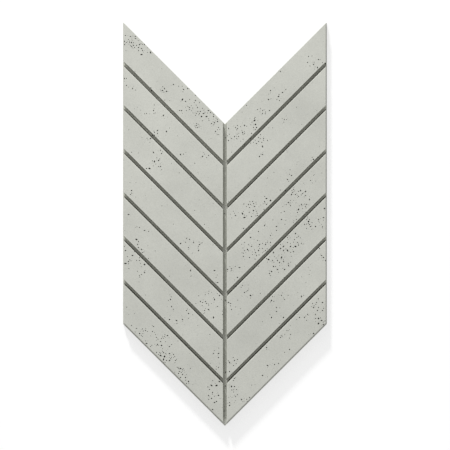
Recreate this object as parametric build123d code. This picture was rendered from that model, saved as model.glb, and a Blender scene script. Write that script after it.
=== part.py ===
from build123d import *
import math
import os

# A wall panel of concrete, cast in one piece: a chevron plate whose point is down, at -Y.
# Grooves part its face into two columns of slats that fall towards the middle.
# A wider groove, the spine, runs down the middle between the two columns.
# The slats stand on a base, which shows as a narrow ledge beside them and along the point.
# The panel lies on its flat back. X runs across it, Y up the wall and Z out of the wall.
# All sizes are in millimetres, and angles in degrees.

# Plate
panel_width = 500.0
panel_thickness = 25.0
arris_radius = 0.8  # rounds the edge between the face and the notch
side_ledge = 3.0  # how far the base shows beyond the slats on the left and the right
foot_ledge = 4.0  # how far it shows along the two edges of the point

# Slats
slat_count = 7  # in each column, from the notch down to the point
slat_width = 67.0  # measured square to the slat's run
slat_slope = 45.0  # how steeply a slat falls towards the middle

# Grooves
groove_width = 8.5  # mouth of a groove between one slat and the next
spine_width = 10.0  # mouth of the spine
groove_depth = 12.0
groove_draft = 4.0  # how far each wall leans back, so that the mould comes out; ledges too
root_radius = 1.5  # between a groove's floor and its walls
lip_radius = 0.7  # between a groove's walls and the face

# How far a cutter runs past what it cuts
overrun = 20.0

half_width = panel_width / 2
slope = math.radians(slat_slope)
draft = math.radians(groove_draft)
notch_depth = half_width * math.tan(slope)
slats_and_grooves = slat_count * slat_width + (slat_count - 1) * groove_width
side_length = (slats_and_grooves + foot_ledge) / math.cos(slope)
panel_height = side_length + notch_depth

# Heights of the outline's corners, from the middle of the overall height
shoulder_y = panel_height / 2
notch_y = shoulder_y - notch_depth
point_y = -panel_height / 2
heel_y = point_y + notch_depth


def outline():
    """The chevron, seen from the front."""
    right_side = [(half_width, shoulder_y), (half_width, heel_y)]
    left_side = [(-half_width, heel_y), (-half_width, shoulder_y)]
    corners = [(0, notch_y), *right_side, (0, point_y), *left_side]
    return make_face(Polyline(*corners, close=True))


def blank():
    """The plate before its grooves and ledges, with the arris rounded all round its face."""
    plate = extrude(outline(), amount=panel_thickness)
    arris = plate.faces().sort_by(Axis.Z)[-1].edges()
    return fillet(arris, arris_radius)


def groove_section(mouth_width):
    """What a groove takes away: a flat floor, rounded roots, leaning walls and rounded lips."""
    floor_z = panel_thickness - groove_depth
    top_z = panel_thickness + overrun
    half_mouth = mouth_width / 2
    half_floor = half_mouth - groove_depth * math.tan(draft)
    lip_reach = lip_radius * math.tan((math.pi / 2 - draft) / 2)
    half_top = half_mouth + lip_reach
    wall_top_z = panel_thickness - lip_reach * math.cos(draft)
    half_wall_top = half_mouth - lip_reach * math.sin(draft)

    edges = [Line((-half_floor, floor_z), (half_floor, floor_z))]
    for side in (1, -1):
        edges += [
            Line((side * half_floor, floor_z), (side * half_wall_top, wall_top_z)),
            TangentArc(
                (side * half_wall_top, wall_top_z),
                (side * half_top, panel_thickness),
                tangent=(side * math.sin(draft), math.cos(draft)),
            ),
            Line((side * half_top, panel_thickness), (side * half_top, top_z)),
        ]
    edges.append(Line((-half_top, top_z), (half_top, top_z)))
    section = make_face(edges)
    roots = section.vertices().group_by(Axis.Y)[0]
    return fillet(roots, root_radius)


def groove_cutter(mouth_width, start, run, length):
    """The solid that a straight groove takes away, from start along run."""
    across = Vector(0, 0, 1).cross(run)
    return extrude(Plane(start, across, run) * groove_section(mouth_width), amount=length)


def spine_cutter():
    """The groove down the middle, from the notch to the point."""
    start = Vector(0, panel_height / 2 + overrun, 0)
    return groove_cutter(spine_width, start, Vector(0, -1, 0), panel_height + 2 * overrun)


def slat_groove_cutters():
    """The grooves of the right column, which start on the middle line, and their mirror images."""
    run = Vector(math.cos(slope), math.sin(slope), 0)
    reach = half_width / math.cos(slope) + overrun
    first_y = notch_y - (slat_width + groove_width / 2) / math.cos(slope)
    pitch = (slat_width + groove_width) / math.cos(slope)
    right_side = Pos(panel_width, 0, 0) * Box(2 * panel_width, 4 * panel_height, 8 * panel_thickness)
    cutters = []
    for step in range(slat_count - 1):
        on_middle = Vector(0, first_y - step * pitch, 0)
        cutter = groove_cutter(groove_width, on_middle - run * overrun, run, reach + overrun)
        cutter = cutter & right_side
        cutters += [cutter, mirror(cutter, about=Plane.YZ)]
    return cutters


def ledge_cutters():
    """Half-open grooves along the right side and the point's right edge, and their mirror images."""
    mouth = 2 * overrun
    beside = half_width + mouth / 2 - side_ledge
    side = groove_cutter(mouth, Vector(beside, heel_y - mouth, 0), Vector(0, 1, 0), side_length + 2 * mouth)

    run = Vector(math.cos(slope), math.sin(slope), 0)
    outward = Vector(math.sin(slope), -math.cos(slope), 0)
    start = Vector(0, point_y, 0) + outward * (mouth / 2 - foot_ledge) - run * mouth
    foot = groove_cutter(mouth, start, run, half_width / math.cos(slope) + 2 * mouth)
    return [side, foot, mirror(side, about=Plane.YZ), mirror(foot, about=Plane.YZ)]


wall_panel = blank() - ledge_cutters() - spine_cutter() - slat_groove_cutters()
wall_panel.label = "wall_panel"
os.makedirs("parts", exist_ok=True)
export_step(wall_panel, "parts/wall_panel.step")
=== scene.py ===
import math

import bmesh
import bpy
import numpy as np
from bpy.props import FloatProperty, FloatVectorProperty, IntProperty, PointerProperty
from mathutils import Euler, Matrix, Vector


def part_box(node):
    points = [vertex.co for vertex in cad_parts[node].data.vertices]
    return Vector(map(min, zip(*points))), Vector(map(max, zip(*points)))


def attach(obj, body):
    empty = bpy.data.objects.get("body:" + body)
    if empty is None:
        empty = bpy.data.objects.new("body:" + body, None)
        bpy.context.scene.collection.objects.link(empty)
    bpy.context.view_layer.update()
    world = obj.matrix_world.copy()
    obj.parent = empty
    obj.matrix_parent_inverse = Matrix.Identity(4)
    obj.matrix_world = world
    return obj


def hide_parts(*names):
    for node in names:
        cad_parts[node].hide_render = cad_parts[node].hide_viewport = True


bl_info = {
    "name": "Chevron Concrete Wall Panel",
    "version": (1, 0, 0),
    "blender": (4, 5, 0),
    "location": "3D View > Sidebar > Wall Panel",
    "description": "Casts a grooved concrete wall panel, opens its air holes and sets it on a pale floor",
    "category": "Add Mesh",
}

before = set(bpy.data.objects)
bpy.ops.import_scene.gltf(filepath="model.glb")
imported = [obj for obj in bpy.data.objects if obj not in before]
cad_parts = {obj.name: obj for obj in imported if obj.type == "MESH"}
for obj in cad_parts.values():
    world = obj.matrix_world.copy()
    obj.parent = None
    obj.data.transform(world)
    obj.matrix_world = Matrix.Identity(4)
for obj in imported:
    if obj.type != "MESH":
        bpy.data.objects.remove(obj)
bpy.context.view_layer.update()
PLATE_LOW, PLATE_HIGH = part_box("wall_panel")

MM = 0.001
PANEL = "chevron_panel"

# The overall size comes from the frame
PANEL_WIDTH = PLATE_HIGH.x - PLATE_LOW.x
PANEL_HEIGHT = PLATE_HIGH.y - PLATE_LOW.y
THICKNESS = PLATE_HIGH.z - PLATE_LOW.z

# How the panel lies in the reference picture, in pixels of its 450 x 450 frame
PICTURE_SIDE = 450.0
PANEL_WIDTH_SEEN = 204.1
PANEL_MIDDLE_SEEN = (224.95, 224.08)
PIXEL = PANEL_WIDTH / PANEL_WIDTH_SEEN

# Air holes read off the reference picture, each as the pixel that it lies in: across, down
LARGE_HOLES = (
    # upper left slats
    (150, 52), (164, 88), (166, 91), (182, 99), (201, 116), (206, 116), (203, 113), (217, 121),
    (141, 54), (166, 131), (150, 138), (154, 161), (158, 160), (149, 168),
    # lower left slats
    (136, 239), (141, 249), (180, 243), (214, 270), (217, 282), (132, 255), (125, 263), (144, 264),
    (213, 317), (169, 319), (161, 345), (155, 355), (160, 355), (164, 356), (163, 359), (169, 360),
    (180, 368), (219, 381), (211, 385), (216, 385), (212, 409),
    # upper right slats
    (325, 63), (254, 120), (255, 124), (259, 131), (262, 146), (270, 200), (242, 213), (244, 217),
    # lower right slats
    (300, 190), (305, 191), (298, 209), (247, 249), (259, 244), (265, 244), (324, 208), (308, 221),
    (280, 248), (290, 246), (295, 246), (281, 257), (268, 259), (277, 269), (283, 246), (287, 250),
    (313, 307), (250, 295), (318, 318), (321, 320), (318, 323), (323, 324), (229, 362), (231, 386),
)
MEDIUM_HOLES = (
    # first left slat
    (125, 35), (130, 36), (129, 42), (124, 41), (131, 42), (124, 44), (136, 45), (139, 44), (144, 44),
    (138, 47), (138, 50), (141, 48), (143, 41), (173, 84), (162, 90), (183, 89), (187, 88), (185, 101),
    (195, 100), (181, 110), (179, 110), (189, 107), (200, 111), (199, 113), (208, 110), (210, 112),
    (213, 114), (213, 116), (214, 122), (196, 125), (215, 131),
    # second left slat
    (124, 78), (126, 85), (132, 88), (151, 90), (146, 113), (153, 110), (163, 115), (170, 112),
    (154, 132), (157, 130), (157, 133), (202, 156), (208, 155), (152, 135), (156, 138),
    # third to fifth left slats
    (153, 152), (160, 150), (161, 153), (160, 166), (146, 168), (180, 154), (131, 190), (130, 194),
    (128, 214), (139, 227), (144, 230), (137, 244), (138, 247), (186, 238), (189, 239), (193, 242),
    (199, 244), (188, 247), (198, 250), (190, 270), (128, 261), (125, 250), (139, 260), (144, 272),
    (141, 274), (123, 221),
    # sixth left slat
    (219, 295), (214, 299), (200, 301), (205, 301), (204, 310), (208, 309), (170, 299), (171, 306),
    (176, 320), (182, 319), (186, 310), (188, 313), (213, 353), (218, 353), (218, 357), (218, 367),
    # seventh left slat
    (136, 328), (139, 333), (145, 330), (153, 326), (156, 337), (167, 335), (161, 338), (157, 344),
    (169, 346), (146, 343), (150, 346), (163, 352), (169, 353), (173, 354), (175, 360), (179, 371),
    (182, 374), (180, 377), (185, 377), (188, 381), (186, 383), (209, 389), (212, 392), (218, 395),
    (208, 395), (211, 398), (216, 401), (214, 402),
    # middle groove
    (225, 137), (224, 213), (225, 300), (225, 372), (225, 386), (224, 411),
    # first right slat
    (308, 56), (307, 62), (313, 64), (318, 59), (317, 67), (280, 71), (270, 90), (271, 91), (278, 96),
    (279, 100), (268, 99), (262, 110), (262, 113), (253, 127), (256, 127), (235, 127), (244, 125),
    (242, 132), (234, 136), (238, 136), (231, 138), (251, 133), (228, 128), (282, 92),
    # second and third right slats
    (258, 137), (258, 141), (267, 140), (262, 154), (259, 156), (284, 119), (250, 138), (244, 144),
    (313, 159), (291, 175), (287, 179), (285, 190), (266, 198), (264, 201), (266, 204), (252, 201),
    (254, 206), (253, 210), (235, 215), (243, 228),
    # fourth right slat
    (310, 180), (302, 193), (305, 195), (291, 194), (295, 194), (288, 202), (301, 204), (306, 204),
    (309, 199), (281, 219), (264, 225), (276, 226), (276, 230), (270, 235), (258, 231), (250, 237),
    (243, 256), (239, 267), (227, 269), (231, 268), (237, 277), (251, 246), (255, 252), (249, 257),
    (258, 250), (262, 248),
    # fifth right slat
    (323, 217), (318, 219), (310, 226), (304, 224), (315, 226), (322, 226), (295, 233), (294, 239),
    (287, 237), (283, 250), (273, 252), (272, 260), (277, 260), (279, 262), (283, 261), (288, 265),
    (273, 266), (284, 269), (271, 271), (269, 273), (274, 244), (242, 285), (244, 292), (228, 302),
    (230, 303),
    # sixth right slat
    (319, 248), (321, 255), (323, 257), (325, 260), (281, 295), (284, 299), (301, 296), (271, 300),
    (276, 307), (276, 311), (271, 317), (283, 317), (237, 359), (234, 360), (233, 365), (229, 371),
    # seventh right slat
    (322, 302), (317, 310), (322, 310), (315, 314), (307, 314), (304, 317), (299, 317), (326, 317),
    (313, 333), (290, 334), (280, 337), (266, 347), (289, 349), (278, 363), (274, 364), (267, 365),
    (262, 375), (234, 378), (233, 380), (234, 386), (236, 389), (235, 396), (249, 397), (241, 399),
    (247, 401), (229, 402), (229, 405),
)
SMALL_HOLES = (
    # first left slat
    (135, 36), (128, 39), (135, 38), (126, 42), (133, 42), (133, 45), (142, 44), (131, 46), (134, 47),
    (142, 50), (148, 51), (195, 95), (199, 102), (197, 107), (186, 110), (197, 111), (196, 113),
    (201, 117), (211, 123), (196, 123), (197, 127), (218, 127),
    # third to sixth left slats
    (138, 241), (142, 252), (134, 251), (127, 256), (136, 260), (139, 257), (139, 275), (148, 258),
    (124, 246), (208, 293), (206, 303), (202, 302), (217, 306), (222, 314),
    # seventh left slat
    (131, 325), (147, 331), (152, 331), (155, 334), (142, 336), (160, 341), (164, 336), (165, 353),
    (159, 352), (156, 352), (158, 354), (171, 357), (170, 358), (166, 360), (163, 362), (178, 368),
    (182, 369), (178, 373), (181, 372), (189, 382),
    # first and second right slats
    (246, 105), (257, 109), (269, 110), (253, 122), (237, 125), (237, 128), (255, 129), (244, 133),
    (236, 138), (228, 140), (260, 134), (263, 138), (260, 138), (256, 143), (253, 142),
    # third right slat
    (250, 204), (253, 203), (248, 204), (246, 206), (249, 207), (256, 211), (257, 215), (251, 216),
    # fourth right slat
    (286, 204), (290, 200), (290, 205), (292, 192), (293, 189), (298, 196), (302, 208), (305, 206),
    (297, 212), (284, 211), (293, 222), (296, 219), (257, 240), (244, 242), (248, 244), (262, 243),
    (270, 242), (267, 242), (244, 250), (257, 251), (265, 250), (252, 254), (254, 252), (256, 255),
    # fifth right slat
    (308, 223), (309, 219), (306, 219), (297, 242), (298, 236), (290, 252), (293, 251), (298, 245),
    (287, 242), (280, 244), (266, 258), (275, 266), (309, 224), (306, 228), (247, 290), (231, 309),
    # seventh right slat
    (312, 303), (316, 302), (318, 307), (323, 308), (315, 318), (306, 320),
)


# How the faces of the plate are told apart
LEVEL = 0.9  # least height of a level face's normal
TURNED_TO_NOTCH = 0.1  # least reach towards the notch of the normal of a wall with painted shade
NO_EDGE = math.radians(5)  # two faces at a smaller angle have no edge between them
SMOOTH_BELOW = math.radians(35)  # two faces at a smaller angle are shaded as one

# How the plate is joined and rounded
WELD_DISTANCE = 0.01 * MM
ROUNDING_STEPS = 4

# How the air holes vary, each as the least and the most share
SINK = (0.15, 0.5)  # of a bubble's half height, from its middle up to the surface
HALF_HEIGHT = (0.9, 1.25)  # of a bubble's radius
SEEN_WIDTH = (0.8, 1.2)  # of the width of its kind
GATHERED_WIDTH = (0.35, 1.0)  # of the widest speck
APART_WIDTH = (0.35, 0.9)  # of the widest speck
HIDDEN_WIDTH = (0.3, 1.0)  # of a medium hole, in the sides and the back
SEEN_STRETCH = (1.0, 1.6)  # of a round hole's length
SPECK_STRETCH = (1.0, 1.5)
HIDDEN_STRETCH = (1.0, 1.4)
ALONG_SIDE = (0.01, 0.99)  # of a side's length
UP_SIDE = (0.12, 0.88)  # of a side's height

# How the air holes are laid out
UP = (0, 0, 1)
DOWN = (0, 0, -1)
LUMP_ROOM = 1.12  # room for a bubble and its lumps, as a share of its reach
PLAIN_RADIUS = 0.55 * MM  # smaller bubbles have fewer faces
GATHERING = 5.5 * MM  # how far specks scatter round a hole
BACK_MARGIN = 3 * MM  # between the holes in the back and its edge
MOST_TRIES = 20000


class CastingSizes(bpy.types.PropertyGroup):
    """The shape of the casting. Its overall size comes from the frame."""

    slat_count: IntProperty(
        name="Slats", description="Slats in each column", default=7, min=2, max=12
    )
    slat_slope: FloatProperty(
        name="Slope", description="How steeply a slat falls to the middle",
        default=math.radians(45), min=math.radians(20), max=math.radians(60), subtype="ANGLE",
    )
    groove_width: FloatProperty(
        name="Groove width", description="Mouth of a groove between two slats",
        default=8.5 * MM, min=2 * MM, max=20 * MM, subtype="DISTANCE",
    )
    spine_width: FloatProperty(
        name="Spine width", description="Mouth of the groove down the middle",
        default=10 * MM, min=2 * MM, max=25 * MM, subtype="DISTANCE",
    )
    groove_depth: FloatProperty(
        name="Groove depth", description="From the face to a groove's floor",
        default=12 * MM, min=2 * MM, max=18 * MM, subtype="DISTANCE",
    )
    groove_draft: FloatProperty(
        name="Draft", description="How far a groove's walls lean back",
        default=math.radians(4), min=math.radians(1), max=math.radians(15), subtype="ANGLE",
    )
    side_ledge: FloatProperty(
        name="Side ledge", description="How far the base shows beyond the slats on the left and the right",
        default=3 * MM, min=1 * MM, max=10 * MM, subtype="DISTANCE",
    )
    foot_ledge: FloatProperty(
        name="Foot ledge", description="How far the base shows along the two edges of the point",
        default=4 * MM, min=1 * MM, max=10 * MM, subtype="DISTANCE",
    )
    arris_radius: FloatProperty(
        name="Arris", description="Rounds the edge between the face and the notch",
        default=0.8 * MM, min=0.2 * MM, max=5 * MM, subtype="DISTANCE",
    )
    lip_radius: FloatProperty(
        name="Lip", description="Rounds the edges of the grooves",
        default=0.7 * MM, min=0.2 * MM, max=2 * MM, subtype="DISTANCE",
    )
    root_radius: FloatProperty(
        name="Root", description="Rounds the corners at a groove's floor",
        default=1.5 * MM, min=0.2 * MM, max=2 * MM, subtype="DISTANCE",
    )
    # Width of the painted highlight: a paler band along each groove that stands in for light on the lips
    painted_highlight_width: FloatProperty(
        name="Painted highlight", description="Paler band of each slat along its grooves",
        default=2.2 * MM, min=0.5 * MM, max=8 * MM, subtype="DISTANCE",
    )
    # Painted light: the last stretch of the spine at the point takes the painted highlight's paler colour,
    # standing in for light reaching it
    painted_lit_tip: FloatProperty(
        name="Painted lit tip", description="Last stretch of the spine at the point, which stays pale",
        default=18 * MM, min=1 * MM, max=50 * MM, subtype="DISTANCE",
    )
    worn_radius: FloatProperty(
        name="Worn corner", description="Rounds the upright corners and the back's edge",
        default=0.5 * MM, min=0.1 * MM, max=1 * MM, subtype="DISTANCE",
    )


class AirHoleSizes(bpy.types.PropertyGroup):
    """The holes that air bubbles left in the casting."""

    large_width: FloatProperty(
        name="Large", description="Mouth of a large hole",
        default=3.8 * MM, min=1 * MM, max=8 * MM, subtype="DISTANCE",
    )
    medium_width: FloatProperty(
        name="Medium", description="Mouth of a medium hole",
        default=2.9 * MM, min=0.5 * MM, max=6 * MM, subtype="DISTANCE",
    )
    small_width: FloatProperty(
        name="Small", description="Mouth of a small hole",
        default=2.3 * MM, min=0.5 * MM, max=5 * MM, subtype="DISTANCE",
    )
    speck_width: FloatProperty(
        name="Speck", description="Widest mouth of a speck",
        default=2.3 * MM, min=0.3 * MM, max=3 * MM, subtype="DISTANCE",
    )
    specks_by_holes: IntProperty(
        name="Specks near holes", description="Specks scattered round the holes",
        default=690, min=0, max=2000,
    )
    specks_apart: IntProperty(
        name="Specks apart", description="Specks scattered over the whole face",
        default=170, min=0, max=2000,
    )
    side_holes: IntProperty(
        name="Side holes", description="Holes in the sides", default=110, min=0, max=1000
    )
    back_holes: IntProperty(
        name="Back holes", description="Holes in the back", default=150, min=0, max=1000
    )
    seed: IntProperty(name="Seed", description="Start of the random draws", default=7, min=0)


class ConcreteColours(bpy.types.PropertyGroup):
    """Colours of the dry concrete, some with painted highlight or painted shade, in linear light."""

    face: FloatVectorProperty(
        name="Face", description="Smooth skin from the mould", size=3, subtype="COLOR",
        default=(0.565, 0.571, 0.522), min=0, max=1,
    )
    # Painted highlight: a paler colour along the slats' groove edges stands in for the light that the
    # rounded lips catch
    painted_highlight: FloatVectorProperty(
        name="Painted highlight", description="Edges of the slats, a little paler", size=3, subtype="COLOR",
        default=(0.61, 0.616, 0.563), min=0, max=1,
    )
    groove: FloatVectorProperty(
        name="Groove", description="Skin in the grooves, with some dust", size=3, subtype="COLOR",
        default=(0.56, 0.567, 0.5), min=0, max=1,
    )
    # Painted shade: the middle groove is coloured darker than the other grooves to stand in for the shade
    # of its walls
    spine: FloatVectorProperty(
        name="Spine", description="Skin in the groove down the middle, a little duller", size=3,
        subtype="COLOR", default=(0.475, 0.481, 0.432), min=0, max=1,
    )
    # Painted shade: the lower walls of the slat grooves, which face the lamp, are coloured near black to
    # hide the light on them
    painted_shade: FloatVectorProperty(
        name="Painted shade", description="Lower walls of the slat grooves, where dust settles", size=3,
        subtype="COLOR", default=(0.14, 0.14, 0.12), min=0, max=1,
    )
    rim: FloatVectorProperty(
        name="Rim and back", description="Rougher skin of the sides and the back", size=3, subtype="COLOR",
        default=(0.54, 0.542, 0.495), min=0, max=1,
    )
    # Painted shade: the inside of an air hole is coloured far darker than the face, standing in for the
    # shade deep in the hole
    hole: FloatVectorProperty(
        name="Air hole", description="Coarse inside of an air hole", size=3, subtype="COLOR",
        default=(0.10, 0.10, 0.085), min=0, max=1,
    )


class StudioLight(bpy.types.PropertyGroup):
    """The plain soft light and the camera."""

    lamp_slant: FloatProperty(
        name="Lamp slant", description="Angle between the lamp and the panel's normal",
        default=math.radians(70), min=0, max=math.radians(85), subtype="ANGLE",
    )
    lamp_turn: FloatProperty(
        name="Lamp turn", description="How far the lamp stands left of the notch",
        default=math.radians(13), min=-math.pi, max=math.pi, subtype="ANGLE",
    )
    lamp_strength: FloatProperty(name="Lamp", description="Sun strength", default=3.0, min=0)
    lamp_softness: FloatProperty(
        name="Softness", description="Apparent size of the lamp",
        default=math.radians(6), min=0, max=math.radians(60), subtype="ANGLE",
    )
    fill_power: FloatProperty(
        name="Fill", description="Power of the soft box past the notch, in watts", default=2.5, min=0
    )
    sky_strength: FloatProperty(name="Sky", description="Even light from all round", default=0.53, min=0)
    lens: FloatProperty(name="Lens", description="Focal length in millimetres", default=180, min=10)


def notch_depth(sizes):
    return PANEL_WIDTH / 2 * math.tan(sizes.slat_slope)


def notch_height(sizes):
    """Height of the notch's inner corner above the middle of the panel."""
    return PANEL_HEIGHT / 2 - notch_depth(sizes)


def painted_lit_tip_height(sizes):
    """Height at which the end of the spine with painted light starts."""
    return sizes.painted_lit_tip - PANEL_HEIGHT / 2


def slat_width(sizes):
    """What is left for each slat between the grooves and the ledge at the foot."""
    run_out = (PANEL_HEIGHT - notch_depth(sizes)) * math.cos(sizes.slat_slope)
    grooves = (sizes.slat_count - 1) * sizes.groove_width
    return (run_out - grooves - sizes.foot_ledge) / sizes.slat_count


def groove_starts(sizes):
    """Heights at which the middle lines of the slat grooves leave the middle of the panel."""
    slant = math.cos(sizes.slat_slope)
    first = slat_width(sizes) + sizes.groove_width / 2
    pitch = slat_width(sizes) + sizes.groove_width
    return [
        notch_height(sizes) - (first + step * pitch) / slant for step in range(sizes.slat_count - 1)
    ]


def past_groove(x, y, sizes):
    """How far a point of the face lies from the nearest groove's mouth, below zero inside it."""
    slant = math.cos(sizes.slat_slope)
    rise = y - abs(x) * math.tan(sizes.slat_slope)
    to_slat_grooves = [
        abs(rise - start) * slant - sizes.groove_width / 2 for start in groove_starts(sizes)
    ]
    return min(abs(x) - sizes.spine_width / 2, *to_slat_grooves)


def past_wall(x, y, sizes):
    """How far a point of a slat lies from the slat's nearest wall, below zero in a groove or on a ledge."""
    above_point = y - abs(x) * math.tan(sizes.slat_slope) + PANEL_HEIGHT / 2
    to_side = PANEL_WIDTH / 2 - sizes.side_ledge - abs(x)
    to_foot = above_point * math.cos(sizes.slat_slope) - sizes.foot_ledge
    return min(past_groove(x, y, sizes), to_side, to_foot)


def on_ledge(x, y, sizes):
    """Whether a point of the outline's strip lies beyond the outer walls of the slats."""
    slant = math.cos(sizes.slat_slope)
    above_point = (y - abs(x) * math.tan(sizes.slat_slope) + PANEL_HEIGHT / 2) * slant
    return abs(x) > PANEL_WIDTH / 2 - sizes.side_ledge or above_point < sizes.foot_ledge


def inside_outline(x, y, sizes, margin):
    """Whether a point of the face lies inside the chevron by at least a margin."""
    slant = math.cos(sizes.slat_slope)
    rise = y - abs(x) * math.tan(sizes.slat_slope)
    below_notch = (notch_height(sizes) - rise) * slant
    above_point = (rise + PANEL_HEIGHT / 2) * slant
    return min(PANEL_WIDTH / 2 - abs(x), below_notch, above_point) >= margin


def select_only(item):
    bpy.ops.object.select_all(action="DESELECT")
    item.select_set(True)
    bpy.context.view_layer.objects.active = item


def pick(item, kind, wanted):
    """In edit mode, selects the vertices, edges or faces that a test wants."""
    bpy.ops.mesh.select_mode(type=kind)
    bpy.ops.mesh.select_all(action="DESELECT")
    shape = bmesh.from_edit_mesh(item.data)
    found = {"VERT": shape.verts, "EDGE": shape.edges, "FACE": shape.faces}[kind]
    for element in found:
        if wanted(element):
            element.select_set(True)
    bmesh.update_edit_mesh(item.data)


def lay_face(sizes):
    """The panel's face as a flat sheet, its middle pulled down into a chevron."""
    bpy.ops.object.select_all(action="DESELECT")
    bpy.ops.mesh.primitive_grid_add(x_subdivisions=2, y_subdivisions=1, size=1)
    panel = bpy.context.object
    panel.name = PANEL
    panel.data.name = PANEL
    bpy.ops.object.mode_set(mode="EDIT")
    side_length = PANEL_HEIGHT - notch_depth(sizes)
    bpy.ops.transform.resize(value=(PANEL_WIDTH, side_length, 1), center_override=(0, 0, 0))
    bpy.ops.transform.translate(value=(0, notch_depth(sizes) / 2, THICKNESS))
    pick(panel, "VERT", lambda vert: abs(vert.co.x) < PANEL_WIDTH / 4)
    bpy.ops.transform.translate(value=(0, -notch_depth(sizes), 0))
    return panel


def part_slats(panel, sizes):
    """Cuts the sheet along each wall of a groove or a ledge, and where the painted highlight bands and the
    painted light at the tip end.
    """
    slope = sizes.slat_slope
    half_mouth = sizes.groove_width / 2 / math.cos(slope)
    half_painted_highlight = half_mouth + sizes.painted_highlight_width / math.cos(slope)
    slanting = []
    for start in groove_starts(sizes):
        slanting += [start + half for half in (-half_painted_highlight, -half_mouth, half_mouth, half_painted_highlight)]
    slanting.append(sizes.foot_ledge / math.cos(slope) - PANEL_HEIGHT / 2)
    half_spine = sizes.spine_width / 2
    upright = (half_spine, half_spine + sizes.painted_highlight_width, PANEL_WIDTH / 2 - sizes.side_ledge)
    for side in (-1, 1):
        for height in slanting:
            pick(panel, "FACE", lambda face: face.calc_center_median().x * side > 0)
            bpy.ops.mesh.bisect(
                plane_co=(0, height, THICKNESS),
                plane_no=(-side * math.sin(slope), math.cos(slope), 0),
            )
        for away in upright:
            bpy.ops.mesh.select_all(action="SELECT")
            bpy.ops.mesh.bisect(plane_co=(side * away, 0, THICKNESS), plane_no=(1, 0, 0))
    bpy.ops.mesh.select_all(action="SELECT")
    bpy.ops.mesh.bisect(plane_co=(0, painted_lit_tip_height(sizes), THICKNESS), plane_no=(0, 1, 0))


def between_slats(face, sizes):
    centre = face.calc_center_median()
    return past_wall(centre.x, centre.y, sizes) < 0


def sink_grooves(panel, sizes):
    """Sinks the strips between and beside the slats, narrower at the floor than at the mouth."""
    pick(panel, "FACE", lambda face: between_slats(face, sizes))
    bpy.ops.mesh.inset(
        thickness=sizes.groove_depth * math.tan(sizes.groove_draft),
        depth=-sizes.groove_depth,
        use_boundary=False,
        use_even_offset=True,
    )


def close_body(panel):
    """Drops the sides from the outline to the back and closes the back."""
    bpy.ops.mesh.select_mode(type="EDGE")
    bpy.ops.mesh.select_all(action="DESELECT")
    bpy.ops.mesh.select_non_manifold(
        extend=False, use_wire=False, use_boundary=True, use_multi_face=False,
        use_non_contiguous=False, use_verts=False,
    )
    bpy.ops.mesh.extrude_edges_move(TRANSFORM_OT_translate={"value": (0, 0, -2 * THICKNESS)})
    bpy.ops.transform.resize(value=(1, 1, 0), center_override=(0, 0, 0))
    bpy.ops.mesh.edge_face_add()
    bpy.ops.mesh.select_all(action="SELECT")
    bpy.ops.mesh.remove_doubles(threshold=WELD_DISTANCE)
    bpy.ops.mesh.normals_make_consistent(inside=False)


def name_face(face, sizes):
    """Which part of the casting a face belongs to, told by its slant and height."""
    upward = face.normal.z
    if upward > LEVEL:
        half_way = THICKNESS - sizes.groove_depth / 2
        return "slat" if face.calc_center_median().z > half_way else "floor"
    if upward < -LEVEL:
        return "back"
    return "wall" if upward > math.sin(sizes.groove_draft) / 2 else "side"


def edge_radius(edge, sizes):
    """How round the mould leaves an edge, told by the two faces that meet there."""
    meeting = {name_face(face, sizes) for face in edge.link_faces}
    if meeting == {"slat", "side"}:
        return sizes.arris_radius
    if meeting == {"slat", "wall"}:
        return sizes.lip_radius
    if meeting == {"floor", "wall"}:
        return sizes.root_radius
    if edge.calc_face_angle(0) < NO_EDGE:
        return 0
    if meeting == {"wall"}:
        return sizes.lip_radius
    return sizes.worn_radius


def round_edges(panel, sizes):
    """Rounds each edge of the casting by its own radius."""
    shape = bmesh.from_edit_mesh(panel.data)
    widest = max(edge_radius(edge, sizes) for edge in shape.edges)
    weight = shape.edges.layers.float.new("bevel_weight_edge")
    for edge in shape.edges:
        edge[weight] = edge_radius(edge, sizes) / widest
    bmesh.update_edit_mesh(panel.data)
    bpy.ops.object.mode_set(mode="OBJECT")
    rounding = panel.modifiers.new("rounded edges", "BEVEL")
    rounding.limit_method = "WEIGHT"
    rounding.width = widest
    rounding.segments = ROUNDING_STEPS
    rounding.use_clamp_overlap = False
    bpy.ops.object.modifier_apply(modifier=rounding.name)


def give_skins(panel, sizes):
    """Gives each part of the casting its own skin, told by its slant, height and place."""
    for name in ("slat_skin", "groove_skin", "rim_skin", "painted_shade_skin", "spine_painted_dark_skin", "painted_highlight_skin"):
        panel.data.materials.append(bpy.data.materials.new(name))
    bpy.ops.object.mode_set(mode="EDIT")
    shape = bmesh.from_edit_mesh(panel.data)
    slots = {"slat": 0, "floor": 1, "wall": 1, "side": 2, "back": 2, "painted_shade": 3, "spine": 4, "painted_highlight": 5}
    for face in shape.faces:
        part = name_face(face, sizes)
        centre = face.calc_center_median()
        # Lips and slat faces next to a groove get the painted highlight, a paler colour for the light on
        # the lips
        if part == "wall" and centre.z > THICKNESS - sizes.lip_radius:
            part = "slat"
        if part == "slat" and past_groove(centre.x, centre.y, sizes) < sizes.painted_highlight_width:
            part = "painted_highlight"
        if part in ("wall", "floor"):
            in_spine = abs(centre.x) < sizes.spine_width / 2
            # The spine's end at the point gets painted light, the same paler colour
            if in_spine and centre.y < painted_lit_tip_height(sizes):
                part = "painted_highlight"
            elif on_ledge(centre.x, centre.y, sizes):
                part = "side"
            # The spine gets painted shade, a darker colour for the shade of its walls
            elif in_spine:
                part = "spine"
            # Walls turned to the lamp past the notch get painted shade, a near-black colour that hides the
            # light on them
            elif face.normal.y > TURNED_TO_NOTCH:
                part = "painted_shade"
        face.material_index = slots[part]
    bmesh.update_edit_mesh(panel.data)
    bpy.ops.object.mode_set(mode="OBJECT")


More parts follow.
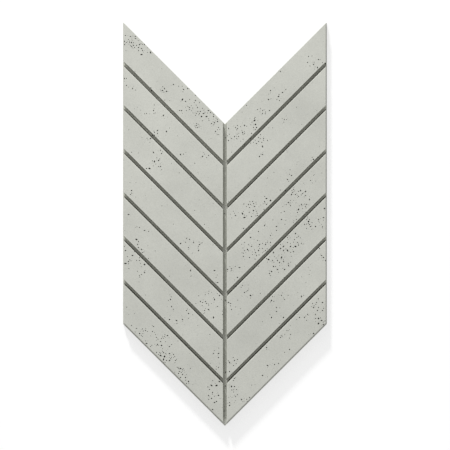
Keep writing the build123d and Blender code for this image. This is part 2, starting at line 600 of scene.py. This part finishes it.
class WALLPANEL_OT_cast_plate(bpy.types.Operator):
    """Cast the plate with its slats, grooves and rounded edges"""

    bl_idname = "wallpanel.cast_plate"
    bl_label = "Cast Plate"

    def execute(self, context):
        sizes = context.scene.casting_sizes
        panel = lay_face(sizes)
        part_slats(panel, sizes)
        sink_grooves(panel, sizes)
        close_body(panel)
        round_edges(panel, sizes)
        give_skins(panel, sizes)
        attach(panel, "root")
        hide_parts("wall_panel")
        return {"FINISHED"}


def model_bubble(detail, lumps, seed):
    """One lumpy air bubble of radius 1: its corners and its faces."""
    bpy.ops.object.select_all(action="DESELECT")
    bpy.ops.mesh.primitive_ico_sphere_add(subdivisions=detail, radius=1)
    bubble = bpy.context.object
    bpy.ops.object.mode_set(mode="EDIT")
    bpy.ops.transform.vertex_random(offset=lumps, uniform=0, normal=0, seed=seed)
    bpy.ops.object.mode_set(mode="OBJECT")
    corners = np.array([vert.co for vert in bubble.data.vertices])
    faces = np.array([tuple(face.vertices) for face in bubble.data.polygons])
    mesh = bubble.data
    bpy.data.objects.remove(bubble)
    bpy.data.meshes.remove(mesh)
    return corners, faces


class Holes:
    """The air holes as they are placed, none of them touching another."""

    def __init__(self, seed):
        self.random = np.random.default_rng(seed)
        self.centres = np.zeros((0, 3))
        self.reaches = np.zeros(0)
        self.placed = []

    def open(self, mouth, outward, width, stretch):
        """Sinks a bubble under a point of the surface, if there is room for it there."""
        sink = self.random.uniform(*SINK)
        radius = width / 2 / math.sqrt(1 - sink * sink)
        shape = np.array([stretch, 1 / math.sqrt(stretch), self.random.uniform(*HALF_HEIGHT)]) * radius
        centre = np.array(mouth) - np.array(outward) * sink * shape[2]
        reach = shape.max() * LUMP_ROOM
        if len(self.centres):
            gaps = np.linalg.norm(self.centres - centre, axis=1) - self.reaches - reach
            if gaps.min() < 0:
                return False
        turn = self.random.uniform(0, math.tau)
        aim = Vector(outward).to_track_quat("Z", "Y").to_matrix() @ Euler((0, 0, turn)).to_matrix()
        self.centres = np.vstack([self.centres, centre])
        self.reaches = np.append(self.reaches, reach)
        self.placed.append((centre, shape, np.array(aim), self.random.integers(0, 1 << 16), radius))
        return True


def seen_at(pixel):
    """The place on the panel's face that is seen at the middle of a pixel of the reference picture."""
    across, down = (value + 0.5 for value in pixel)
    return (across - PANEL_MIDDLE_SEEN[0]) * PIXEL, (PANEL_MIDDLE_SEEN[1] - down) * PIXEL


def open_seen_holes(holes, widths, sizes):
    """The holes read off the reference picture, each where the picture has it."""
    kinds = (
        (LARGE_HOLES, widths.large_width),
        (MEDIUM_HOLES, widths.medium_width),
        (SMALL_HOLES, widths.small_width),
    )
    for pixels, kind_width in kinds:
        for pixel in pixels:
            x, y = seen_at(pixel)
            height = THICKNESS
            if past_wall(x, y, sizes) < -sizes.groove_width / 4:
                height = THICKNESS - sizes.groove_depth
            width = kind_width * holes.random.uniform(*SEEN_WIDTH)
            holes.open((x, y, height), UP, width, holes.random.uniform(*SEEN_STRETCH))


def draw_place(holes):
    """A random place within the panel's width and height."""
    x = holes.random.uniform(-PANEL_WIDTH / 2, PANEL_WIDTH / 2)
    y = holes.random.uniform(-PANEL_HEIGHT / 2, PANEL_HEIGHT / 2)
    return x, y


def draw_gathered(holes):
    """A random place near one of the holes of the reference picture."""
    pixels = LARGE_HOLES + MEDIUM_HOLES + SMALL_HOLES
    near = seen_at(pixels[holes.random.integers(len(pixels))])
    return holes.random.normal(near, GATHERING)


def open_specks(holes, draw, count, widest, shares, sizes):
    """A number of specks on the slats, each at a place that a function draws."""
    opened = 0
    tries = 0
    while opened < count and tries < MOST_TRIES:
        tries += 1
        x, y = draw(holes)
        width = widest * holes.random.uniform(*shares)
        if inside_outline(x, y, sizes, 0) and past_wall(x, y, sizes) > 0:
            stretch = holes.random.uniform(*SPECK_STRETCH)
            opened += holes.open((x, y, THICKNESS), UP, width, stretch)


def open_side_holes(holes, widths, sizes):
    """Holes in the upright sides, below the ledges and the arris."""
    half = PANEL_WIDTH / 2
    notch = Vector((0, notch_height(sizes)))
    shoulder = Vector((half, PANEL_HEIGHT / 2))
    heel = Vector((half, -PANEL_HEIGHT / 2 + notch_depth(sizes)))
    point = Vector((0, -PANEL_HEIGHT / 2))
    base = THICKNESS - sizes.groove_depth
    runs = [(shoulder, notch, THICKNESS), (heel, shoulder, base), (point, heel, base)]
    lengths = np.array([(end - start).length for start, end, _ in runs])
    opened = 0
    while opened < widths.side_holes:
        start, end, top = runs[holes.random.choice(len(runs), p=lengths / lengths.sum())]
        along = (end - start).normalized()
        spot = start.lerp(end, holes.random.uniform(*ALONG_SIDE))
        mirror = holes.random.choice((-1, 1))
        height = holes.random.uniform(*UP_SIDE) * top
        outward = (mirror * along.y, -along.x, 0)
        width = holes.random.uniform(*HIDDEN_WIDTH) * widths.medium_width
        stretch = holes.random.uniform(*HIDDEN_STRETCH)
        opened += holes.open((mirror * spot.x, spot.y, height), outward, width, stretch)


def open_back_holes(holes, widths, sizes):
    """Holes in the back."""
    opened = 0
    while opened < widths.back_holes:
        x, y = draw_place(holes)
        width = holes.random.uniform(*HIDDEN_WIDTH) * widths.medium_width
        if inside_outline(x, y, sizes, BACK_MARGIN):
            opened += holes.open((x, y, 0), DOWN, width, holes.random.uniform(*HIDDEN_STRETCH))


def join_bubbles(holes, material):
    """All the bubbles as one mesh, to be cut out of the casting at once."""
    lumpy = [model_bubble(detail=2, lumps=0.16, seed=seed) for seed in range(6)]
    plain = [model_bubble(detail=1, lumps=0.12, seed=seed) for seed in range(4)]
    corners, faces, count = [], [], 0
    for centre, shape, aim, draw, radius in holes.placed:
        kinds = plain if radius < PLAIN_RADIUS else lumpy
        bubble_corners, bubble_faces = kinds[draw % len(kinds)]
        corners.append((bubble_corners * shape) @ aim.T + centre)
        faces.append(bubble_faces + count)
        count += len(bubble_corners)
    mesh = bpy.data.meshes.new("air_bubbles")
    mesh.from_pydata(np.vstack(corners).tolist(), [], np.vstack(faces).tolist())
    mesh.materials.append(material)
    bubbles = bpy.data.objects.new("air_bubbles", mesh)
    bpy.context.collection.objects.link(bubbles)
    return bubbles


class WALLPANEL_OT_open_air_holes(bpy.types.Operator):
    """Open the air holes in the face, the sides and the back"""

    bl_idname = "wallpanel.open_air_holes"
    bl_label = "Open Air Holes"

    def execute(self, context):
        sizes = context.scene.casting_sizes
        widths = context.scene.air_hole_sizes
        panel = bpy.data.objects[PANEL]
        holes = Holes(widths.seed)
        open_seen_holes(holes, widths, sizes)
        widest = widths.speck_width
        open_specks(holes, draw_gathered, widths.specks_by_holes, widest, GATHERED_WIDTH, sizes)
        open_specks(holes, draw_place, widths.specks_apart, widest, APART_WIDTH, sizes)
        open_side_holes(holes, widths, sizes)
        open_back_holes(holes, widths, sizes)
        bubbles = join_bubbles(holes, bpy.data.materials.new("hole_painted_dark_skin"))
        select_only(panel)
        cut = panel.modifiers.new("air holes", "BOOLEAN")
        cut.operation = "DIFFERENCE"
        cut.solver = "MANIFOLD"
        cut.material_mode = "TRANSFER"
        cut.object = bubbles
        bpy.ops.object.modifier_apply(modifier=cut.name)
        bpy.data.objects.remove(bubbles)
        bpy.ops.object.shade_smooth_by_angle(angle=SMOOTH_BELOW)
        normals = panel.modifiers.new("even normals", "WEIGHTED_NORMAL")
        normals.keep_sharp = True
        bpy.ops.object.modifier_apply(modifier=normals.name)
        return {"FINISHED"}


# Shares in the effects of the skins
MIDDLE_OF_NOISE = 0.5
SMALL_CLOUDS = 0.35  # of the cloudy tone, the rest being broad clouds
PIT_MOUTH = 0.5  # of a pit's width, from its middle to where it starts to darken
PIT_FLOOR = 0.3  # of a pit's width, from its middle to where it is darkest
PIT_SHADE = 0.35  # of the skin's colour, in a pit
ROUGHNESS_SWING = 0.25  # how far the grain's shade moves the roughness


def start_group(name, inputs, outputs):
    """A new node group with named sockets, and its two end nodes."""
    group = bpy.data.node_groups.new(name, "ShaderNodeTree")
    for label, kind in inputs:
        group.interface.new_socket(label, in_out="INPUT", socket_type=kind)
    for label, kind in outputs:
        group.interface.new_socket(label, in_out="OUTPUT", socket_type=kind)
    return group, group.nodes.new("NodeGroupInput").outputs, group.nodes.new("NodeGroupOutput").inputs


def maths(tree, operation, first, second=None, third=None):
    """A maths node on sockets or plain numbers, and its result."""
    node = tree.nodes.new("ShaderNodeMath")
    node.operation = operation
    for socket, value in zip(node.inputs, (first, second, third)):
        if isinstance(value, bpy.types.NodeSocket):
            tree.links.new(value, socket)
        elif value is not None:
            socket.default_value = value
    return node.outputs["Value"]


def in_units_of(tree, place, size):
    """The place divided by a size, so that a pattern repeats at that size."""
    node = tree.nodes.new("ShaderNodeVectorMath")
    node.operation = "DIVIDE"
    tree.links.new(place, node.inputs[0])
    tree.links.new(size, node.inputs[1])
    return node.outputs["Vector"]


def noise(tree, place, scale, detail, roughness=0.5):
    node = tree.nodes.new("ShaderNodeTexNoise")
    tree.links.new(place, node.inputs["Vector"])
    node.inputs["Scale"].default_value = scale
    node.inputs["Detail"].default_value = detail
    node.inputs["Roughness"].default_value = roughness
    return node.outputs["Fac"]


def cast_clouds():
    """Broad cloudy tones left by uneven water in the mix. Shade is about 1."""
    group, given, made = start_group(
        "Cast Clouds",
        [("Place", "NodeSocketVector"), ("Start", "NodeSocketVector"), ("Size", "NodeSocketFloat"),
         ("Contrast", "NodeSocketFloat")],
        [("Shade", "NodeSocketFloat")],
    )
    moved = group.nodes.new("ShaderNodeVectorMath")
    group.links.new(given["Place"], moved.inputs[0])
    group.links.new(given["Start"], moved.inputs[1])
    place = in_units_of(group, moved.outputs["Vector"], given["Size"])
    broad = noise(group, place, scale=1.0, detail=2.0)
    small = noise(group, place, scale=4.3, detail=3.0, roughness=0.6)
    broad_part = maths(group, "MULTIPLY", broad, 1 - SMALL_CLOUDS)
    both = maths(group, "MULTIPLY_ADD", small, SMALL_CLOUDS, broad_part)
    around_zero = maths(group, "SUBTRACT", both, MIDDLE_OF_NOISE)
    spread = maths(group, "MULTIPLY", around_zero, given["Contrast"])
    group.links.new(maths(group, "ADD", spread, 1.0), made["Shade"])
    return group


def sand_grain():
    """Fine sand under the skin. Shade is about 1, and Height is about 0."""
    group, given, made = start_group(
        "Sand Grain",
        [("Place", "NodeSocketVector"), ("Size", "NodeSocketFloat"), ("Contrast", "NodeSocketFloat"),
         ("Relief", "NodeSocketFloat")],
        [("Shade", "NodeSocketFloat"), ("Height", "NodeSocketFloat")],
    )
    place = in_units_of(group, given["Place"], given["Size"])
    sand = noise(group, place, scale=1.0, detail=4.0, roughness=0.65)
    grain = maths(group, "SUBTRACT", sand, MIDDLE_OF_NOISE)
    spread = maths(group, "MULTIPLY", grain, given["Contrast"])
    group.links.new(maths(group, "ADD", spread, 1.0), made["Shade"])
    group.links.new(maths(group, "MULTIPLY", grain, given["Relief"]), made["Height"])
    return group


def pinholes():
    """Pits too small to model. Mask is 1 in a pit."""
    group, given, made = start_group(
        "Pinholes",
        [("Place", "NodeSocketVector"), ("Spacing", "NodeSocketFloat"), ("Width", "NodeSocketFloat")],
        [("Mask", "NodeSocketFloat")],
    )
    place = in_units_of(group, given["Place"], given["Spacing"])
    cells = group.nodes.new("ShaderNodeTexVoronoi")
    cells.inputs["Scale"].default_value = 1.0
    group.links.new(place, cells.inputs["Vector"])
    away = maths(group, "MULTIPLY", cells.outputs["Distance"], given["Spacing"])
    share = maths(group, "DIVIDE", away, given["Width"])
    fade = group.nodes.new("ShaderNodeMapRange")
    group.links.new(share, fade.inputs["Value"])
    fade.inputs["From Min"].default_value = PIT_MOUTH
    fade.inputs["From Max"].default_value = PIT_FLOOR
    group.links.new(fade.outputs["Result"], made["Mask"])
    return group


def place_group(tree, group, place, **values):
    """A node group in a material, reading the piece's own coordinates."""
    node = tree.nodes.new("ShaderNodeGroup")
    node.node_tree = group
    tree.links.new(place, node.inputs["Place"])
    for label, value in values.items():
        node.inputs[label].default_value = value
    return node.outputs


def tinted(tree, colour, shade):
    """A plain colour made lighter or darker by a shade."""
    node = tree.nodes.new("ShaderNodeVectorMath")
    node.operation = "SCALE"
    node.inputs[0].default_value = colour
    tree.links.new(shade, node.inputs["Scale"])
    return node.outputs["Vector"]


def mixed(tree, mask, under, over):
    """A plain colour over a varied one where a mask says so."""
    node = tree.nodes.new("ShaderNodeMix")
    node.data_type = "RGBA"
    tree.links.new(mask, node.inputs["Factor"])
    below, above = (socket for socket in node.inputs if socket.type == "RGBA")
    tree.links.new(under, below)
    above.default_value = (*over, 1.0)
    return next(socket for socket in node.outputs if socket.type == "RGBA")


def skin(name, colour, groups, look):
    """One skin of the concrete, from the three shared effects with its own values."""
    material = bpy.data.materials[name]
    material.use_nodes = True
    tree = material.node_tree
    shader = tree.nodes["Principled BSDF"]
    place = tree.nodes.new("ShaderNodeTexCoord").outputs["Object"]
    clouds = place_group(
        tree, groups["clouds"], place,
        Start=look["cloud_start"], Size=look["cloud_size"], Contrast=look["cloud_contrast"],
    )
    grain = place_group(
        tree, groups["grain"], place,
        Size=look["grain_size"], Contrast=look["grain_contrast"], Relief=look["grain_relief"],
    )
    pits = place_group(
        tree, groups["pits"], place, Spacing=look["pit_spacing"], Width=look["pit_width"]
    )
    shade = maths(tree, "MULTIPLY", clouds["Shade"], grain["Shade"])
    dry = tinted(tree, tuple(colour), shade)
    pit_mask = maths(tree, "MULTIPLY", pits["Mask"], look["pit_darkness"])
    pit_colour = tuple(PIT_SHADE * part for part in colour)
    tree.links.new(mixed(tree, pit_mask, dry, pit_colour), shader.inputs["Base Color"])
    least_rough = look["roughness"] - ROUGHNESS_SWING
    rough = maths(tree, "MULTIPLY_ADD", grain["Shade"], ROUGHNESS_SWING, least_rough)
    tree.links.new(rough, shader.inputs["Roughness"])
    height = maths(tree, "MULTIPLY_ADD", pits["Mask"], -look["pit_depth"], grain["Height"])
    bump = tree.nodes.new("ShaderNodeBump")
    bump.inputs["Distance"].default_value = 1.0
    tree.links.new(height, bump.inputs["Height"])
    tree.links.new(bump.outputs["Normal"], shader.inputs["Normal"])
    shader.inputs["Specular IOR Level"].default_value = 0.25


# How each skin looks, with the sizes of its effects in metres
MOULD_SMOOTH = {
    "cloud_start": (-2.02, 2.42, 2.22), "cloud_size": 0.12, "cloud_contrast": 0.30,
    "grain_size": 2.4 * MM, "grain_contrast": 0.35, "grain_relief": 0.08 * MM,
    "pit_spacing": 6 * MM, "pit_width": 1.1 * MM, "pit_darkness": 0.7, "pit_depth": 0.25 * MM,
    "roughness": 0.82,
}
GROOVE_ROUGH = MOULD_SMOOTH | {"cloud_size": 0.05, "grain_contrast": 0.2, "roughness": 0.88}
RIM_ROUGH = MOULD_SMOOTH | {
    "cloud_size": 0.08, "grain_size": 1.4 * MM, "grain_contrast": 0.25, "grain_relief": 0.18 * MM,
    "pit_spacing": 4 * MM, "roughness": 0.9,
}
HOLE_COARSE = MOULD_SMOOTH | {
    "cloud_size": 0.03, "grain_size": 0.6 * MM, "grain_contrast": 0.5, "grain_relief": 0.2 * MM,
    "roughness": 0.95,
}


class WALLPANEL_OT_finish_skins(bpy.types.Operator):
    """Colour the concrete with clouds, sand grain and pinholes"""

    bl_idname = "wallpanel.finish_skins"
    bl_label = "Finish Skins"

    def execute(self, context):
        colours = context.scene.concrete_colours
        groups = {"clouds": cast_clouds(), "grain": sand_grain(), "pits": pinholes()}
        skin("slat_skin", colours.face, groups, MOULD_SMOOTH)
        skin("painted_highlight_skin", colours.painted_highlight, groups, MOULD_SMOOTH)
        skin("groove_skin", colours.groove, groups, GROOVE_ROUGH)
        skin("painted_shade_skin", colours.painted_shade, groups, GROOVE_ROUGH)
        skin("spine_painted_dark_skin", colours.spine, groups, GROOVE_ROUGH)
        skin("rim_skin", colours.rim, groups, RIM_ROUGH)
        skin("hole_painted_dark_skin", colours.hole, groups, HOLE_COARSE)
        return {"FINISHED"}


# How the stage is set
FLOOR_GAP = 0.2 * MM  # between the floor and the back, so that they don't flicker into each other
GLOW_SHARE = 0.5  # of glow in the floor where it is seen, the rest being lit by the lamps
LAMP_AWAY = 3  # metres from the panel


def shown_rays(tree):
    """1 for rays that show the background as white: straight ones and those in gloss or glass."""
    path = tree.nodes.new("ShaderNodeLightPath").outputs
    shown = maths(tree, "MAXIMUM", path["Is Camera Ray"], path["Is Glossy Ray"])
    return maths(tree, "MAXIMUM", shown, path["Is Transmission Ray"])


def lay_floor():
    """A wide pale floor that stays white round the panel and keeps its shadow."""
    bpy.ops.object.select_all(action="DESELECT")
    bpy.ops.mesh.primitive_plane_add(size=40, location=(0, 0, PLATE_LOW.z - FLOOR_GAP))
    floor = bpy.context.object
    floor.name = "floor"
    material = bpy.data.materials.new("pale_floor")
    material.use_nodes = True
    tree = material.node_tree
    tree.nodes.clear()
    matt = tree.nodes.new("ShaderNodeBsdfDiffuse")
    matt.inputs["Color"].default_value = (0.86, 0.86, 0.86, 1)
    glow = tree.nodes.new("ShaderNodeEmission")
    glow.inputs["Color"].default_value = (1, 1, 1, 1)
    glow.inputs["Strength"].default_value = 1.25
    blend = tree.nodes.new("ShaderNodeMixShader")
    tree.links.new(maths(tree, "MULTIPLY", shown_rays(tree), GLOW_SHARE), blend.inputs["Fac"])
    tree.links.new(matt.outputs["BSDF"], blend.inputs[1])
    tree.links.new(glow.outputs["Emission"], blend.inputs[2])
    out = tree.nodes.new("ShaderNodeOutputMaterial")
    tree.links.new(blend.outputs["Shader"], out.inputs["Surface"])
    floor.data.materials.append(material)


def light_sky(light):
    """Even light from all round, with a white background."""
    world = bpy.data.worlds.new("studio")
    bpy.context.scene.world = world
    world.use_nodes = True
    tree = world.node_tree
    tree.nodes.clear()
    sky = tree.nodes.new("ShaderNodeBackground")
    sky.inputs["Color"].default_value = (1, 1, 1, 1)
    sky.inputs["Strength"].default_value = light.sky_strength
    white = tree.nodes.new("ShaderNodeBackground")
    white.inputs["Color"].default_value = (1, 1, 1, 1)
    blend = tree.nodes.new("ShaderNodeMixShader")
    tree.links.new(shown_rays(tree), blend.inputs["Fac"])
    tree.links.new(sky.outputs["Background"], blend.inputs[1])
    tree.links.new(white.outputs["Background"], blend.inputs[2])
    out = tree.nodes.new("ShaderNodeOutputWorld")
    tree.links.new(blend.outputs["Shader"], out.inputs["Surface"])


def point_at(item, place, target):
    """Puts a lamp at a place and turns it to a target."""
    item.location = place
    item.rotation_mode = "QUATERNION"
    item.rotation_quaternion = (Vector(place) - Vector(target)).to_track_quat("Z", "Y")


def hang_lamps(light):
    """A broad lamp past the notch, low and a little to the left, with a soft box to fill."""
    slant, turn = light.lamp_slant, light.lamp_turn
    towards = Vector(
        (-math.sin(turn) * math.sin(slant), math.cos(turn) * math.sin(slant), math.cos(slant))
    )
    lamp = bpy.data.lights.new("lamp", "SUN")
    lamp.energy = light.lamp_strength
    lamp.angle = light.lamp_softness
    holder = bpy.data.objects.new("lamp", lamp)
    bpy.context.collection.objects.link(holder)
    point_at(holder, towards * LAMP_AWAY, (0, 0, 0))
    box = bpy.data.lights.new("soft_box", "AREA")
    box.energy = light.fill_power
    box.shape = "DISK"
    box.size = 0.8
    holder = bpy.data.objects.new("soft_box", box)
    bpy.context.collection.objects.link(holder)
    past_notch = (-PANEL_WIDTH / 2, PANEL_HEIGHT * 0.95, 0.9)
    above_middle = (0, PANEL_HEIGHT * 0.2, 0)
    point_at(holder, past_notch, above_middle)


def set_camera(light):
    """Straight above the panel, so that it lies in the frame as the reference picture has it."""
    camera = bpy.data.cameras.new("camera")
    camera.lens = light.lens
    camera.sensor_width = 36
    above = PICTURE_SIDE * PIXEL * camera.lens / camera.sensor_width
    middle = PICTURE_SIDE / 2
    x = (middle - PANEL_MIDDLE_SEEN[0]) * PIXEL
    y = (PANEL_MIDDLE_SEEN[1] - middle) * PIXEL
    holder = bpy.data.objects.new("camera", camera)
    bpy.context.collection.objects.link(holder)
    holder.location = (x, y, PLATE_HIGH.z + above)
    bpy.context.scene.camera = holder


class WALLPANEL_OT_set_stage(bpy.types.Operator):
    """Set the pale floor, the soft light and the camera"""

    bl_idname = "wallpanel.set_stage"
    bl_label = "Set Stage"

    def execute(self, context):
        light = context.scene.studio_light
        lay_floor()
        light_sky(light)
        hang_lamps(light)
        set_camera(light)
        context.scene.view_settings.view_transform = "Standard"
        return {"FINISHED"}


class WALLPANEL_PT_sidebar(bpy.types.Panel):
    """Lists the steps that make the wall panel"""

    bl_idname = "WALLPANEL_PT_sidebar"
    bl_label = "Wall Panel"
    bl_space_type = "VIEW_3D"
    bl_region_type = "UI"
    bl_category = "Wall Panel"

    def draw(self, context):
        for settings, operator in (
            (context.scene.casting_sizes, WALLPANEL_OT_cast_plate),
            (context.scene.air_hole_sizes, WALLPANEL_OT_open_air_holes),
            (context.scene.concrete_colours, WALLPANEL_OT_finish_skins),
            (context.scene.studio_light, WALLPANEL_OT_set_stage),
        ):
            box = self.layout.box()
            for name in settings.__annotations__:
                box.prop(settings, name)
            box.operator(operator.bl_idname)


CLASSES = (
    CastingSizes,
    AirHoleSizes,
    ConcreteColours,
    StudioLight,
    WALLPANEL_OT_cast_plate,
    WALLPANEL_OT_open_air_holes,
    WALLPANEL_OT_finish_skins,
    WALLPANEL_OT_set_stage,
    WALLPANEL_PT_sidebar,
)


def register():
    for kind in CLASSES:
        bpy.utils.register_class(kind)
    bpy.types.Scene.casting_sizes = PointerProperty(type=CastingSizes)
    bpy.types.Scene.air_hole_sizes = PointerProperty(type=AirHoleSizes)
    bpy.types.Scene.concrete_colours = PointerProperty(type=ConcreteColours)
    bpy.types.Scene.studio_light = PointerProperty(type=StudioLight)


def unregister():
    del bpy.types.Scene.studio_light
    del bpy.types.Scene.concrete_colours
    del bpy.types.Scene.air_hole_sizes
    del bpy.types.Scene.casting_sizes
    for kind in reversed(CLASSES):
        bpy.utils.unregister_class(kind)


def main():
    register()
    bpy.ops.wallpanel.cast_plate()
    bpy.ops.wallpanel.open_air_holes()
    bpy.ops.wallpanel.finish_skins()
    bpy.ops.wallpanel.set_stage()


if __name__ == "__main__":
    main()
